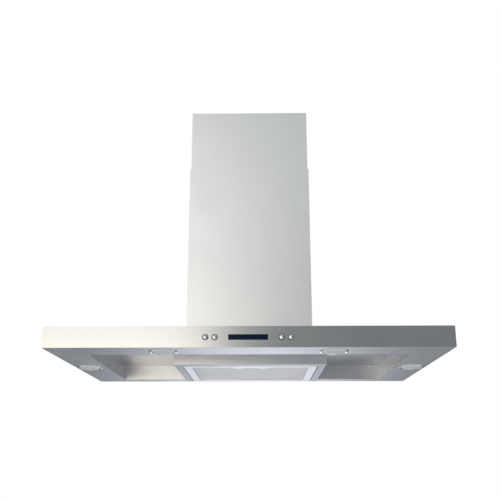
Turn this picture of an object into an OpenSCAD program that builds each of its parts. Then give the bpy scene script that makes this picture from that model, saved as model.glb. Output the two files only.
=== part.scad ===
// Island range hood: a flat canopy under a square telescopic chimney.
// Millimetres, +Z up, front towards -Y. The origin is the centre of the ceiling
// plate's top face, so the ceiling is at z = 0 and everything hangs below it.
// Pieces of the hood itself are drawn above the canopy's bottom, in on_hood().

/* [Canopy] */
// Width of the canopy, left to right
canopy_w = 900; // [880:10:1000]
// Depth of the canopy, front to back
canopy_d = 600; // [598:1:606]
// Height of the canopy's upright faces
canopy_h = 47; // [47:0.5:48]
// Thickness of the canopy's outer sheet
shell_t = 1.5; // [1.2:0.1:1.5]
// Thickness of the liner, the filter box and the blower box
sheet = 1.2; // [1:0.1:1.2]
// Height of the smoke recess above the canopy's bottom
recess_up = 41; // [39:0.5:41]
// Width of the flat border in front of the recess
border_front = 97; // [96:0.5:100]
// Width of the flat border beside the recess
border_side = 79; // [77:0.5:80]
// Width of the flat border behind the recess
border_rear = 46; // [44:0.5:48]

/* [Filter] */
// Width of the box that holds the grease filter
housing_w = 386; // [380:1:400]
// Distance of the filter box's front face from the canopy's middle
housing_front = 46.6; // [45:0.1:48]
// Width of the grease filter
filter_w = 344; // [340:1:346]
// Depth of the grease filter, front to back
filter_d = 299; // [298:0.5:299]
// Thickness of the grease filter
filter_t = 10; // [9:0.5:11]
// Width of the filter's frame
filter_rim = 21; // [20:0.5:22]

/* [Chimney] */
// Distance from the ceiling to the canopy's bottom
hood_drop = 645; // [640:1:660]
// Height of the lower cover's top edge above the canopy's bottom
seam_up = 484; // [470:1:490]
// Outer width of the lower cover
lower_cover_w = 302; // [302:1:304]
// Outer width of the upper cover
upper_cover_w = 297; // [296:0.5:297]
// Length of the upper cover
upper_cover_long = 400; // [380:5:400]
// Thickness of the cover sheet
cover_t = 1; // [0.8:0.1:1]

/* [Controls] */
// Width of the display window
window_w = 87; // [80:1:90]
// Height of the display window
window_h = 12.3; // [11:0.1:13]
// Height of the controls above the canopy's bottom
control_up = 22.6; // [22:0.1:24]
// Distance of the inner buttons from the middle
button_inner_x = 73; // [70:0.5:74]
// Distance of the outer buttons from the middle
button_outer_x = 93.4; // [91:0.1:95]
// Radius of a button
button_r = 6.25; // [6:0.05:6.4]

/* [Lamps and duct] */
// Radius of a lamp's bezel
bezel_r = 32.5; // [31:0.1:33]
// Distance of the front lamps from the middle
front_lamp_x = 192; // [190:1:200]
// Distance of the front lamps in front of the middle
front_lamp_y = 245; // [243:0.5:247]
// Distance of the side lamps from the middle
side_lamp_x = 414; // [412:0.5:415]
// Outer radius of the duct collar
collar_r = 75; // [75:0.5:76]

/* [Hidden] */
$fn = 64;
clear = 0.3;
through = 1;
screw_r = 2;
screw_hole_r = screw_r + 0.1;
bolt_r = 3;

// Canopy
half_w = canopy_w / 2;
half_d = canopy_d / 2;
shell_top = canopy_h - shell_t;
liner_half_w = half_w - shell_t - clear;
liner_half_d = half_d - shell_t - clear;
recess_x = half_w - border_side;
recess_front = -half_d + border_front;
recess_rear = half_d - border_rear;
top_hole = 128;
air_x = 122;
air_front = -36;
air_rear = 122;
flange_screw_x = 134;
flange_screw_y = 100;

// Filter box and filter
housing_x = housing_w / 2;
housing_rear = half_d - shell_t - 0.5;
filter_x = filter_w / 2;
filter_front = -10;
filter_rear = filter_front + filter_d;
filter_gap = 1.8;
filter_low = 0.2;
filter_top = filter_low + filter_t;
hinge_y = filter_rear - 6;
hinge_z = 5;
hinge_pin_r = 2;
bracket_x = filter_x + 2.5;
bracket_t = 2.5;
mesh_low = 2.5;
mesh_top = 7.9;
latch_x = 41.5;
latch_front = filter_front + filter_rim + 0.2;
latch_rear = latch_front + 26.8;
latch_slot_x = 21.5;
latch_slot_front = latch_front + 14.8;
latch_slot_rear = latch_slot_front + 8;

// Frame that hangs from the ceiling
plate_half = 145;
plate_t = 3;
plate_flange_t = 2;
plate_flange_out = 144;
plate_flange_y = 104;
plate_flange_down = 22;
ceiling_hole = 95;
ceiling_hole_r = 4;
duct_hole_r = 100;
post_t = 1.5;
post_leg = 25;
upper_post_out = 143;
upper_post_bottom = -420;
lower_post_out = 141.1;
lower_post_top = 455;
foot_wide = 38;
foot_t = 2;
foot_bolt = 124;
post_bolt_y = 130;
post_slot_top = -122;
post_slot_bottom = -408;
post_slot_w = 6.5;
clamp_heights = [395, 435];
clamp_head_start = upper_post_out + clear;
clamp_nut_end = lower_post_out - post_t;
frame_screw_heights = [70, 105];
cover_screw_z = -12;
cover_screw_y = 60;

// Chimney covers
lower_cover_flange = 8;
cover_base_screw_x = 60;
cover_base_screw_y = lower_cover_w / 2 - 4.5;
seam_screw_y = -6;
seam_screw_heights = [100, 265, 430];
seam_screw_r = 1.5;
seam_strip_y = 12;

// Blower
box_half = 139.5;
box_top = 297;
wheel_y = 50;
wheel_z = 155;
wheel_r = 75;
scroll_x = 50;
scroll_start_r = 78;
scroll_growth = 32;
scroll_turn = 270;
neck_front = -60;
neck_rear = 20;
neck_flange = 78;
shaft_r = 4;
motor_r = 46;
motor_front = 55;
motor_long = 73;
motor_screw_r = 36;
bracket_screw_r = 56;
capacitor_at = [-112, -118, 180];
capacitor_r = 15;
duct_y = -20;
collar_top = 357;
pin_z = 305;
flap_r = 71;
flap_pin_r = 1.5;
barrel_long = 8;
junction_low = [-60, 72, box_top];
junction_high = [60, 130, box_top + 40];
junction_t = 1.5;
supply_lead_x = -45;
supply_lead_y = 101;
gland_at = [40, 83];
gland_r = 8;
gland_low = junction_high.z - 6;
gland_nut_low = junction_high.z + junction_t;
gland_nut_t = 6;
gland_cap_t = 12;
gland_bore_r = 4.5;

// Controls
button_xs = [-button_outer_x, -button_inner_x, button_inner_x, button_outer_x];
wall_in = -half_d + shell_t;
button_hole_r = button_r + 0.65;
button_travel = 2;
stem_r = 3;
guide_front = wall_in + 6.5;
board_front = wall_in + 22.5;
tray_back = board_front + 6;

// Lamps
lamp_spots = [
    [-front_lamp_x, -front_lamp_y],
    [front_lamp_x, -front_lamp_y],
    [-side_lamp_x, 0],
    [side_lamp_x, 0]
];

// Leads
lead_r = 1.2;
corner_r = 1.35;
lead_level = 12;
over_liner = (recess_up + sheet + shell_top) / 2;
side_lead_y = -27 - clear;
behind_lamp_y = recess_front - sheet - 3.5;
beside_lamp_y = -222;
transformer_y = -243;
lamp_hole_r = 27.5;
lens_r = 25;
lens_drop = 8;

// Colours
stainless = "#b9bcbe";
liner_steel = "#a2a5aa";
galvanised = "#9aa1a4";
zinc = "#8f9294";
chrome = "#d8dadc";
aluminium = "#c9ccd0";
black_plastic = "#26282a";
grey_plastic = "#6d7072";
board_green = "#2e5a3c";
dark_glass = "#12263c";
lens_glass = "#dfe6ee";
copper = "#a8643a";

// Helpers

module on_hood() translate([0, 0, -hood_drop]) children();

module block(low, high) translate(low) cube(high - low);

module rod_x(start, long, r) translate(start) rotate([0, 90, 0]) cylinder(h = long, r = r);

module rod_y(start, long, r) translate(start) rotate([-90, 0, 0]) cylinder(h = long, r = r);

module rod_z(start, long, r) translate(start) cylinder(h = long, r = r);

module both_sides() {
    children();
    mirror([1, 0, 0]) children();
}

module front_and_back() {
    children();
    mirror([0, 1, 0]) children();
}

module four_corners() both_sides() front_and_back() children();

// A square tube standing on end, open at the top and the bottom
module square_sleeve(outer, t, low, high) difference() {
    block([-outer, -outer, low], [outer, outer, high]);
    block([t - outer, t - outer, low - through], [outer - t, outer - t, high + through]);
}

// An angle in the corner towards +X and +Y
module angle_post(outer, low, high) difference() {
    block([outer - post_leg, outer - post_leg, low], [outer, outer, high]);
    block(
        [outer - post_leg - through, outer - post_leg - through, low - through],
        [outer - post_t, outer - post_t, high + through]
    );
}

// Frame that hangs from the ceiling

module ceiling_plate() color(zinc) difference() {
    union() {
        block([-plate_half, -plate_half, -plate_t], [plate_half, plate_half, 0]);
        for (turn = [0:90:270]) rotate(turn) block(
            [plate_flange_out - plate_flange_t, -plate_flange_y, -plate_flange_down],
            [plate_flange_out, plate_flange_y, -plate_t]
        );
    }
    rod_z([0, 0, -plate_t - through], plate_t + 2 * through, duct_hole_r);
    for (x = [-ceiling_hole, ceiling_hole], y = [-ceiling_hole, ceiling_hole])
        rod_z([x, y, -plate_t - through], plate_t + 2 * through, ceiling_hole_r);
    four_corners() rod_z([foot_bolt, foot_bolt, -plate_t - through], plate_t + 2 * through, bolt_r + 0.1);
    four_corners() cover_screw_slot();
}

// Slot that is open at the bottom, so that a cover slides off its loosened screws
module cover_screw_slot() {
    slot_start = plate_flange_out - plate_flange_t - through;
    rod_x([slot_start, cover_screw_y, cover_screw_z], plate_flange_t + 2 * through, 2.5);
    block(
        [slot_start, cover_screw_y - 2.5, -plate_flange_down - through],
        [plate_flange_out + through, cover_screw_y + 2.5, cover_screw_z]
    );
}

module upper_posts() color(zinc) four_corners() difference() {
    union() {
        angle_post(upper_post_out, upper_post_bottom, -plate_t);
        block(
            [upper_post_out - foot_wide, upper_post_out - foot_wide, -plate_t - foot_t],
            [upper_post_out, upper_post_out, -plate_t]
        );
    }
    rod_z([foot_bolt, foot_bolt, -plate_t - foot_t - through], foot_t + 2 * through, bolt_r + 0.1);
    post_slot();
}

module post_slot() {
    end_r = post_slot_w / 2;
    start = upper_post_out - post_t - through;
    block(
        [start, post_bolt_y - end_r, post_slot_bottom + end_r],
        [upper_post_out + through, post_bolt_y + end_r, post_slot_top - end_r]
    );
    for (z = [post_slot_bottom + end_r, post_slot_top - end_r])
        rod_x([start, post_bolt_y, z], post_t + 2 * through, end_r);
}

module upper_post_bolts() color(zinc) four_corners() {
    head = 4;
    head_bottom = -plate_t - foot_t - head;
    translate([foot_bolt, foot_bolt, head_bottom]) cylinder(h = head, r = 5, $fn = 6);
    rod_z([foot_bolt, foot_bolt, head_bottom + head], foot_t + plate_t - clear, bolt_r);
}

// Chimney covers, each in two halves that meet at the middle of the sides

module cover_half(width, low, high) difference() {
    square_sleeve(width / 2, cover_t, low, high);
    block([-width, -0.1, low - through], [width, width, high + through]);
}

// Strip inside the seam, which backs the edge of the other half
module seam_strip(width, low, high) {
    wall = width / 2 - cover_t;
    block([wall - cover_t, -seam_strip_y, low], [wall, seam_strip_y, high]);
}

module upper_cover_front() color(stainless) difference() {
    cover_half(upper_cover_w, -upper_cover_long, -1);
    both_sides() upper_cover_screw_hole(-cover_screw_y);
}

module upper_cover_back() color(stainless) difference() {
    union() {
        mirror([0, 1, 0]) cover_half(upper_cover_w, -upper_cover_long, -1);
        both_sides() seam_strip(upper_cover_w, -upper_cover_long, -1);
    }
    both_sides() upper_cover_screw_hole(cover_screw_y);
}

module upper_cover_screw_hole(y)
    rod_x([upper_cover_w / 2 - 2 * cover_t, y, cover_screw_z], 3 * cover_t, screw_hole_r);

module upper_cover_screws() color(chrome) four_corners() {
    rod_x([upper_cover_w / 2, cover_screw_y, cover_screw_z], 1.5, 4);
    rod_x([plate_flange_out - 5, cover_screw_y, cover_screw_z], upper_cover_w / 2 - plate_flange_out + 5, screw_r);
}

module lower_cover_flange_strip() difference() {
    block(
        [cover_t - lower_cover_w / 2, -lower_cover_w / 2, canopy_h],
        [lower_cover_w / 2 - cover_t, lower_cover_flange - lower_cover_w / 2, canopy_h + cover_t]
    );
    both_sides() rod_z([cover_base_screw_x, -cover_base_screw_y, canopy_h - through], 4, screw_hole_r);
}

module seam_screw_holes() both_sides() for (z = seam_screw_heights)
    rod_x([lower_cover_w / 2 - 3 * cover_t, seam_screw_y, z], 4 * cover_t, seam_screw_r + 0.1);

module lower_cover_front() on_hood() color(stainless) {
    difference() {
        cover_half(lower_cover_w, canopy_h, seam_up);
        seam_screw_holes();
    }
    lower_cover_flange_strip();
}

module lower_cover_back() on_hood() color(stainless) {
    difference() {
        union() {
            mirror([0, 1, 0]) cover_half(lower_cover_w, canopy_h, seam_up);
            both_sides() seam_strip(lower_cover_w, canopy_h, seam_up - 2);
        }
        seam_screw_holes();
    }
    mirror([0, 1, 0]) lower_cover_flange_strip();
}

module lower_cover_screws() on_hood() color(chrome) {
    both_sides() for (z = seam_screw_heights) {
        rod_x([lower_cover_w / 2, seam_screw_y, z], 1.2, 3);
        rod_x([lower_cover_w / 2 - 2 * cover_t, seam_screw_y, z], 2 * cover_t, seam_screw_r);
    }
    four_corners() {
        rod_z([cover_base_screw_x, cover_base_screw_y, canopy_h + cover_t], 2, 3.5);
        rod_z([cover_base_screw_x, cover_base_screw_y, shell_top - 1], shell_t + cover_t + 1, screw_r);
    }
}

// Lower frame, which slides inside the upper one

module lower_posts() on_hood() color(zinc) four_corners() difference() {
    angle_post(lower_post_out, canopy_h, lower_post_top);
    for (z = clamp_heights) rod_x([lower_post_out - 3, post_bolt_y, z], 5, 2.6);
    for (z = frame_screw_heights) rod_x([lower_post_out - 3, post_bolt_y, z], 5, screw_hole_r);
}

module post_clamp_bolts() on_hood() color(chrome) four_corners() for (z = clamp_heights) {
    rod_x([clamp_head_start, post_bolt_y, z], 2, 5);
    rod_x([clamp_nut_end - 5, post_bolt_y, z], clamp_head_start - clamp_nut_end + 5, 2.5);
}

module post_clamp_nuts() on_hood() color(chrome) four_corners() for (z = clamp_heights) difference() {
    translate([clamp_nut_end - 4, post_bolt_y, z]) rotate([0, 90, 0]) cylinder(h = 4, r = 4.6, $fn = 6);
    rod_x([clamp_nut_end - 5, post_bolt_y, z], 6, 2.55);
}

module frame_screws() on_hood() color(zinc) four_corners() for (z = frame_screw_heights) {
    rod_x([lower_post_out, post_bolt_y, z], 2, 4);
    rod_x([lower_post_out - 6, post_bolt_y, z], 6, screw_r);
}

// Canopy

module canopy_shell() on_hood() color(stainless) difference() {
    block([-half_w, -half_d, 0], [half_w, half_d, canopy_h]);
    block(
        [shell_t - half_w, shell_t - half_d, -through],
        [half_w - shell_t, half_d - shell_t, shell_top]
    );
    block([-top_hole, -top_hole, shell_top - through], [top_hole, top_hole, canopy_h + through]);
    block(
        [-window_w / 2, -half_d - through, control_up - window_h / 2],
        [window_w / 2, wall_in + through, control_up + window_h / 2]
    );
    for (x = button_xs) rod_y([x, -half_d - through, control_up], shell_t + 2 * through, button_hole_r);
    four_corners() rod_z([cover_base_screw_x, cover_base_screw_y, shell_top - through], 4, screw_hole_r);
    four_corners() rod_z([flange_screw_x, flange_screw_y, shell_top - through], 4, screw_hole_r);
}

module canopy_liner() on_hood() color(liner_steel) difference() {
    union() {
        difference() {
            block([-liner_half_w, -liner_half_d, 0], [liner_half_w, liner_half_d, 5]);
            block(
                [sheet - liner_half_w, sheet - liner_half_d, sheet],
                [liner_half_w - sheet, liner_half_d - sheet, 6]
            );
        }
        block(
            [-recess_x - sheet, recess_front - sheet, 0],
            [recess_x + sheet, recess_rear + sheet, recess_up + sheet]
        );
    }
    block([-recess_x, recess_front, -through], [recess_x, recess_rear, recess_up]);
    block([-housing_x - clear, 0, -through], [housing_x + clear, half_d, recess_up]);
    block([-air_x, air_front, recess_up - through], [air_x, air_rear, recess_up + 3]);
    for (spot = lamp_spots) rod_z([spot.x, spot.y, -through], 4, lamp_hole_r);
}

module filter_housing() on_hood() color(liner_steel) difference() {
    block([-housing_x, -housing_front, 0], [housing_x, housing_rear, recess_up]);
    block(
        [sheet - housing_x, sheet - housing_front, sheet],
        [housing_x - sheet, housing_rear - sheet, recess_up - sheet]
    );
    block(
        [-filter_x - filter_gap, filter_front - filter_gap, -through],
        [filter_x + filter_gap, filter_rear + 1.5, sheet + through]
    );
    block([-air_x, air_front, recess_up - 3], [air_x, air_rear, recess_up + through]);
}

module filter_hinge_brackets() on_hood() color(zinc) both_sides() difference() {
    block([bracket_x, hinge_y - 7, sheet], [bracket_x + bracket_t, hinge_y + 7, sheet + 11]);
    rod_x([bracket_x - through, hinge_y, hinge_z], bracket_t + 2 * through, hinge_pin_r + 0.05);
}

// Grease filter

module filter_frame() on_hood() color(aluminium) difference() {
    block([-filter_x, filter_front, filter_low], [filter_x, filter_rear, filter_top]);
    block(
        [filter_rim - filter_x, filter_front + filter_rim, filter_low - through],
        [filter_x - filter_rim, filter_rear - filter_rim, filter_top + through]
    );
    block(
        [filter_rim - filter_x - 4, filter_front + filter_rim - 4, mesh_low - clear],
        [filter_x - filter_rim + 4, filter_rear - filter_rim + 4, mesh_top + clear]
    );
    block([-9.5, filter_front - through, 2.6], [9.5, filter_front + filter_rim, 6.4]);
    both_sides() rod_x([filter_x - 8, hinge_y, hinge_z], 9, hinge_pin_r + 0.02);
}

module filter_mesh() on_hood() color(aluminium) difference() {
    block(
        [filter_rim - filter_x - 3.7, filter_front + filter_rim - 3.7, mesh_low],
        [filter_x - filter_rim + 3.7, filter_rear - filter_rim + 3.7, mesh_top]
    );
    block([-latch_x - 0.5, latch_front - 8, 0], [latch_x + 0.5, latch_rear + 0.5, mesh_top + through]);
}

module filter_hinge_pins() on_hood() color(chrome) both_sides()
    rod_x([filter_x - 8, hinge_y, hinge_z], bracket_x - filter_x + bracket_t + 8.5, hinge_pin_r);

module latch_housing() on_hood() color(aluminium) difference() {
    block([-latch_x, latch_front, filter_low], [latch_x, latch_rear, 8]);
    block([sheet - latch_x, latch_front - through, 2], [latch_x - sheet, latch_rear - sheet, 7]);
    block([-latch_slot_x, latch_slot_front, 0], [latch_slot_x, latch_slot_rear, 3]);
}

module filter_latch() on_hood() color(black_plastic) {
    block([-9, filter_front - 0.3, 3], [9, latch_front + 4, 6]);
    block([-20, latch_front + 3, 2.6], [20, latch_front + 19, 6.2]);
    block([-20.5, latch_slot_front + 0.5, 0.8], [20.5, latch_slot_front + 2.5, 4]);
}

// Blower

module blower_box() on_hood() color(galvanised) difference() {
    union() {
        difference() {
            block([-box_half, -box_half, canopy_h], [box_half, box_half, box_top]);
            block(
                [sheet - box_half, sheet - box_half, canopy_h - through],
                [box_half - sheet, box_half - sheet, box_top - sheet]
            );
        }
        both_sides() block([top_hole + 1, -box_half, canopy_h], [box_half, box_half, canopy_h + sheet]);
    }
    rod_z([0, duct_y, box_top - 3], 5, collar_r - sheet);
    rod_z([supply_lead_x, supply_lead_y, box_top - 3], 5, screw_r);
    four_corners() for (z = frame_screw_heights) rod_x([box_half - 3, post_bolt_y, z], 5, screw_hole_r - 0.05);
    four_corners() rod_z([flange_screw_x, flange_screw_y, canopy_h - through], 4, screw_hole_r);
}

module blower_box_screws() on_hood() color(zinc) four_corners() {
    rod_z([flange_screw_x, flange_screw_y, canopy_h + sheet], 2.5, 3.8);
    rod_z([flange_screw_x, flange_screw_y, shell_top - 1], shell_t + sheet + 1, screw_r);
}

// Radius of the scroll at an angle counted from its top towards the back
function scroll_radius(turn) = scroll_start_r + scroll_growth * pow(turn / scroll_turn, 1.3);

// Outline of the scroll in the Y-Z plane, drawn a wall's thickness further in
module scroll_outline(inset) polygon([
    [neck_front + inset, box_top - sheet],
    for (turn = [scroll_turn:-9:0])
        [wheel_y, wheel_z] + (scroll_radius(turn) - inset) * [sin(turn), cos(turn)],
    [neck_rear - inset, wheel_z + scroll_start_r + 3],
    [neck_rear - inset, box_top - sheet]
]);

// Turns a drawing in the X-Y plane into one in the Y-Z plane, extruded along +X
module across(start, long)
    translate([start, 0, 0]) rotate([90, 0, 90]) linear_extrude(long) children();

module scroll_housing() on_hood() color(black_plastic) difference() {
    union() {
        across(-scroll_x, 2 * scroll_x) scroll_outline(0);
        block(
            [-neck_flange, duct_y - neck_flange, box_top - sheet - 2],
            [neck_flange, duct_y + neck_flange, box_top - sheet]
        );
    }
    across(sheet - scroll_x, 2 * (scroll_x - sheet)) scroll_outline(sheet);
    block(
        [sheet - scroll_x, neck_front + sheet, box_top - 8],
        [scroll_x - sheet, neck_rear - sheet, box_top + through]
    );
    rod_x([-scroll_x - through, wheel_y, wheel_z], 4, 64.5);
    rod_x([scroll_x - 3, wheel_y, wheel_z], 5, 50);
    at_scroll_screws() rod_x([scroll_x - 3, 0, 0], 5, screw_r);
}

module at_scroll_screws() for (turn = [45:90:315])
    translate([0, wheel_y, wheel_z]) rotate([turn, 0, 0]) translate([0, bracket_screw_r, 0]) children();

module at_motor_screws() for (turn = [0:90:270])
    translate([0, wheel_y, wheel_z]) rotate([turn, 0, 0]) translate([0, motor_screw_r, 0]) children();

module inlet_ring() on_hood() color(grey_plastic)
    translate([-scroll_x - sheet, wheel_y, wheel_z]) rotate([0, 90, 0]) rotate_extrude() {
        translate([64, 0]) square([8, sheet]);
        intersection() {
            translate([64, 7]) difference() {
                circle(7);
                circle(7 - sheet);
            }
            translate([57, 0]) square([7, 7]);
        }
    }

module fan_wheel() on_hood() color(grey_plastic) translate([0, wheel_y, wheel_z]) rotate([0, 90, 0]) {
    blades = 32;
    difference() {
        union() {
            translate([0, 0, 34]) cylinder(h = 2, r = wheel_r);
            translate([0, 0, 20]) cylinder(h = 16, r = 12);
        }
        translate([0, 0, 19]) cylinder(h = 18, r = shaft_r + 0.02);
    }
    difference() {
        translate([0, 0, -42]) cylinder(h = 3, r = wheel_r);
        translate([0, 0, -43]) cylinder(h = 5, r = 62);
    }
    for (turn = [0:360 / blades:359]) rotate(turn) translate([62.2, 0, -41]) rotate(35)
        cube([12, 1.2, 76]);
}

module motor_shaft() on_hood() color(chrome) rod_x([18, wheel_y, wheel_z], 82, shaft_r);

module fan_motor() on_hood() color(grey_plastic) difference() {
    union() {
        rod_x([motor_front, wheel_y, wheel_z], motor_long, motor_r);
        rod_x([motor_front - 6, wheel_y, wheel_z], 7, 12);
    }
    rod_x([motor_front - 7, wheel_y, wheel_z], 55, shaft_r + 0.05);
    at_motor_screws() rod_x([motor_front - through, 0, 0], 9, screw_hole_r - 0.05);
}

module motor_bracket() on_hood() color(zinc) difference() {
    rod_x([scroll_x, wheel_y, wheel_z], 2, 62);
    rod_x([scroll_x - through, wheel_y, wheel_z], 4, 15);
    at_motor_screws() rod_x([scroll_x - through, 0, 0], 4, screw_hole_r);
    at_scroll_screws() rod_x([scroll_x - through, 0, 0], 4, screw_r);
    for (turn = [45:90:315]) translate([0, wheel_y, wheel_z]) rotate([turn, 0, 0])
        rod_x([scroll_x - through, 33, 0], 4, 13);
}

module motor_grommets() on_hood() color(black_plastic) at_motor_screws() difference() {
    rod_x([scroll_x + 2, 0, 0], motor_front - scroll_x - 2, 7);
    rod_x([scroll_x + 1, 0, 0], motor_front - scroll_x, screw_hole_r);
}

module motor_screws() on_hood() color(zinc) {
    at_motor_screws() {
        rod_x([scroll_x - 2.5, 0, 0], 2.5, 4);
        rod_x([scroll_x, 0, 0], motor_front - scroll_x + 6, screw_r);
    }
    at_scroll_screws() {
        rod_x([scroll_x + 2, 0, 0], 2, 3.5);
        rod_x([scroll_x - 4, 0, 0], 6, 1.9);
    }
}

module run_capacitor() on_hood() color(aluminium) rod_z(capacitor_at, 60, capacitor_r);

module capacitor_clip() on_hood() color(zinc) translate(capacitor_at) difference() {
    union() {
        rod_z([0, 0, 20], 15, capacitor_r + 1.5);
        block([-6, sheet - box_half - capacitor_at.y, 20], [6, -capacitor_r, 35]);
    }
    rod_z([0, 0, 19], 17, capacitor_r + 0.05);
}

module outlet_collar() on_hood() color(black_plastic) translate([0, duct_y, 0]) difference() {
    lip_top = pin_z - 0.8;
    union() {
        rod_z([0, 0, box_top], 1.5, collar_r + 13);
        rod_z([0, 0, box_top], collar_top - box_top, collar_r);
    }
    rod_z([0, 0, box_top - through], lip_top + 2 - box_top, flap_r - 2);
    rod_z([0, 0, box_top - through], lip_top - box_top, collar_r - sheet);
    rod_z([0, 0, lip_top], collar_top - lip_top + through, collar_r - sheet);
    rod_x([-collar_r - through, 0, pin_z], 2 * collar_r + 2 * through, flap_pin_r + 0.05);
}

module damper_pin() on_hood() color(chrome) rod_x([-collar_r, duct_y, pin_z], 2 * collar_r, flap_pin_r);

// Half of the damper, on the +Y side of the pin, with barrels at the given places along the pin
module damper_leaf(barrels) translate([0, duct_y, pin_z]) difference() {
    leaf_half_t = 0.5;
    union() {
        intersection() {
            rod_z([0, 0, -leaf_half_t], 2 * leaf_half_t, flap_r);
            block([-flap_r, 3.6, -leaf_half_t], [flap_r, flap_r, leaf_half_t]);
        }
        for (x = barrels) {
            rod_x([x, 0, 0], barrel_long, 3);
            block([x, 1.8, -leaf_half_t], [x + barrel_long, 5, leaf_half_t]);
        }
    }
    rod_x([-flap_r, 0, 0], 2 * flap_r, flap_pin_r + 0.05);
}

module damper_flap_rear() on_hood() color(grey_plastic) damper_leaf([-40, 48]);

module damper_flap_front() on_hood() color(grey_plastic)
    translate([0, 2 * duct_y, 0]) mirror([0, 1, 0]) damper_leaf([-56, 32]);

// Electrical connection

module junction_box() on_hood() color(galvanised) difference() {
    block(junction_low, junction_high);
    block(
        junction_low + [junction_t, junction_t, junction_t],
        junction_high + [-junction_t, -junction_t, through]
    );
    rod_z([supply_lead_x, supply_lead_y, box_top - through], 4, screw_r);
}

module junction_box_lid() on_hood() color(galvanised) difference() {
    block([junction_low.x, junction_low.y, junction_high.z], junction_high + [0, 0, junction_t]);
    at_gland(junction_high.z - through) cylinder(h = junction_t + 2 * through, r = gland_r + 0.05);
}

module at_gland(z) translate([gland_at.x, gland_at.y, z]) children();

module cable_gland() on_hood() color(black_plastic) difference() {
    cap_top = gland_nut_low + gland_nut_t + gland_cap_t;
    union() {
        at_gland(gland_low) cylinder(h = gland_nut_low + 1 - gland_low, r = gland_r);
        at_gland(gland_nut_low) cylinder(h = gland_nut_t, r = 10.5, $fn = 6);
        at_gland(cap_top - gland_cap_t) cylinder(h = gland_cap_t, r = 9);
    }
    at_gland(gland_low - through) cylinder(h = cap_top - gland_low + 2 * through, r = gland_bore_r);
}

module terminal_block() on_hood() color(aluminium) difference() {
    block([-35, 80, box_top + 1.5], [25, 94, box_top + 14]);
    for (x = [-30:10:20]) rod_z([x, 87, box_top + 8], 7, screw_r);
}

// Lamps

module at_lamps() for (spot = lamp_spots) translate([spot.x, spot.y, 0]) children();

module lamp_bezels() on_hood() color(chrome) at_lamps() rotate_extrude() {
    polygon([[25.3, -2.4], [29, -3], [31.5, -2.4], [bezel_r, 0], [25.3, 0]]);
    translate([25.3, -through]) square([0.7, 9]);
}

// A shallow dome of glass
module lamp_lenses() on_hood() color(lens_glass) at_lamps() {
    dome_r = (lens_r * lens_r + (lens_drop - 1) * (lens_drop - 1)) / (2 * (lens_drop - 1));
    rotate_extrude() intersection() {
        translate([0, dome_r - lens_drop]) difference() {
            circle(dome_r, $fn = 180);
            circle(dome_r - 1.5, $fn = 180);
        }
        translate([0, -lens_drop - 1]) square([lens_r, lens_drop + 1]);
    }
}

module lamp_reflectors() on_hood() color(chrome) at_lamps() rotate_extrude()
    polygon([[24, 1], [20, 8], [14, 15], [7, 20], [7, 21.2], [15, 16.2], [21.2, 8.8], [25, 1]]);

module lamp_bulbs() on_hood() color(lens_glass) at_lamps() {
    rod_z([0, 0, 8], 14, 5);
    translate([0, 0, 8]) sphere(5);
    rod_z([0, 0, 22], 8, 6.5);
}

module lamp_cans() on_hood() color(galvanised) at_lamps() difference() {
    rod_z([0, 0, sheet], 36, 27);
    rod_z([0, 0, 0], 36, 26.2);
}

module lamp_clips() on_hood() color(zinc) at_lamps() both_sides() {
    block([27, -4, 10], [27.8, 4, 22]);
    block([27, -4, 10], [31.5, 4, 10.8]);
    block([30.7, -4, sheet], [31.5, 4, 10.8]);
}

module lamp_transformer() on_hood() color(black_plastic)
    block([-320, -285, sheet + 0.1], [-250, -245, 27]);

// Controls in the canopy's front

module control_housing() on_hood() color(black_plastic) {
    tray_x = button_outer_x + 18;
    tray_low = 6;
    tray_top = 40;
    t = 1.5;
    difference() {
        block([-tray_x, wall_in + 0.2, tray_low], [tray_x, tray_back + t, tray_top]);
        block([t - tray_x, wall_in - through, tray_low + t], [tray_x - t, tray_back, tray_top - t]);
    }
    for (x = [-tray_x + 10, tray_x - 10], z = [13, 33]) rod_y([x, board_front + 1.6, z], 4.4, 3);
}

module control_board() on_hood() color(board_green)
    block([-button_outer_x - 15, board_front, 9], [button_outer_x + 15, board_front + 1.6, 37]);

module display_module() on_hood() color(black_plastic)
    block(
        [-window_w / 2 + 1, wall_in + 1.3, control_up - 7],
        [window_w / 2 - 1, board_front, control_up + 7]
    );

module display_window() on_hood() color(dark_glass) {
    gap = 0.2;
    block(
        [-window_w / 2 + gap, -half_d - 0.3, control_up - window_h / 2 + gap],
        [window_w / 2 - gap, wall_in, control_up + window_h / 2 - gap]
    );
    block(
        [-window_w / 2 - 2.5, wall_in, control_up - window_h / 2 - 2.4],
        [window_w / 2 + 2.5, wall_in + 1, control_up + window_h / 2 + 2.4]
    );
}

module tact_switches() on_hood() color(grey_plastic) for (x = button_xs) {
    block([x - 3, board_front - 3.2, control_up - 3], [x + 3, board_front, control_up + 3]);
    rod_y([x, board_front - 3.8, control_up], 1, 1.7);
}

module button_guide_plate() on_hood() color(black_plastic) both_sides() difference() {
    union() {
        block([button_inner_x - 9, guide_front, 7.6], [button_outer_x + 12, guide_front + 2, 38.4]);
        for (x = [button_inner_x, button_outer_x]) rod_y([x, guide_front, control_up], 7, 5);
    }
    for (x = [button_inner_x, button_outer_x])
        rod_y([x, guide_front - through, control_up], 9, stem_r + 0.05);
}

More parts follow.
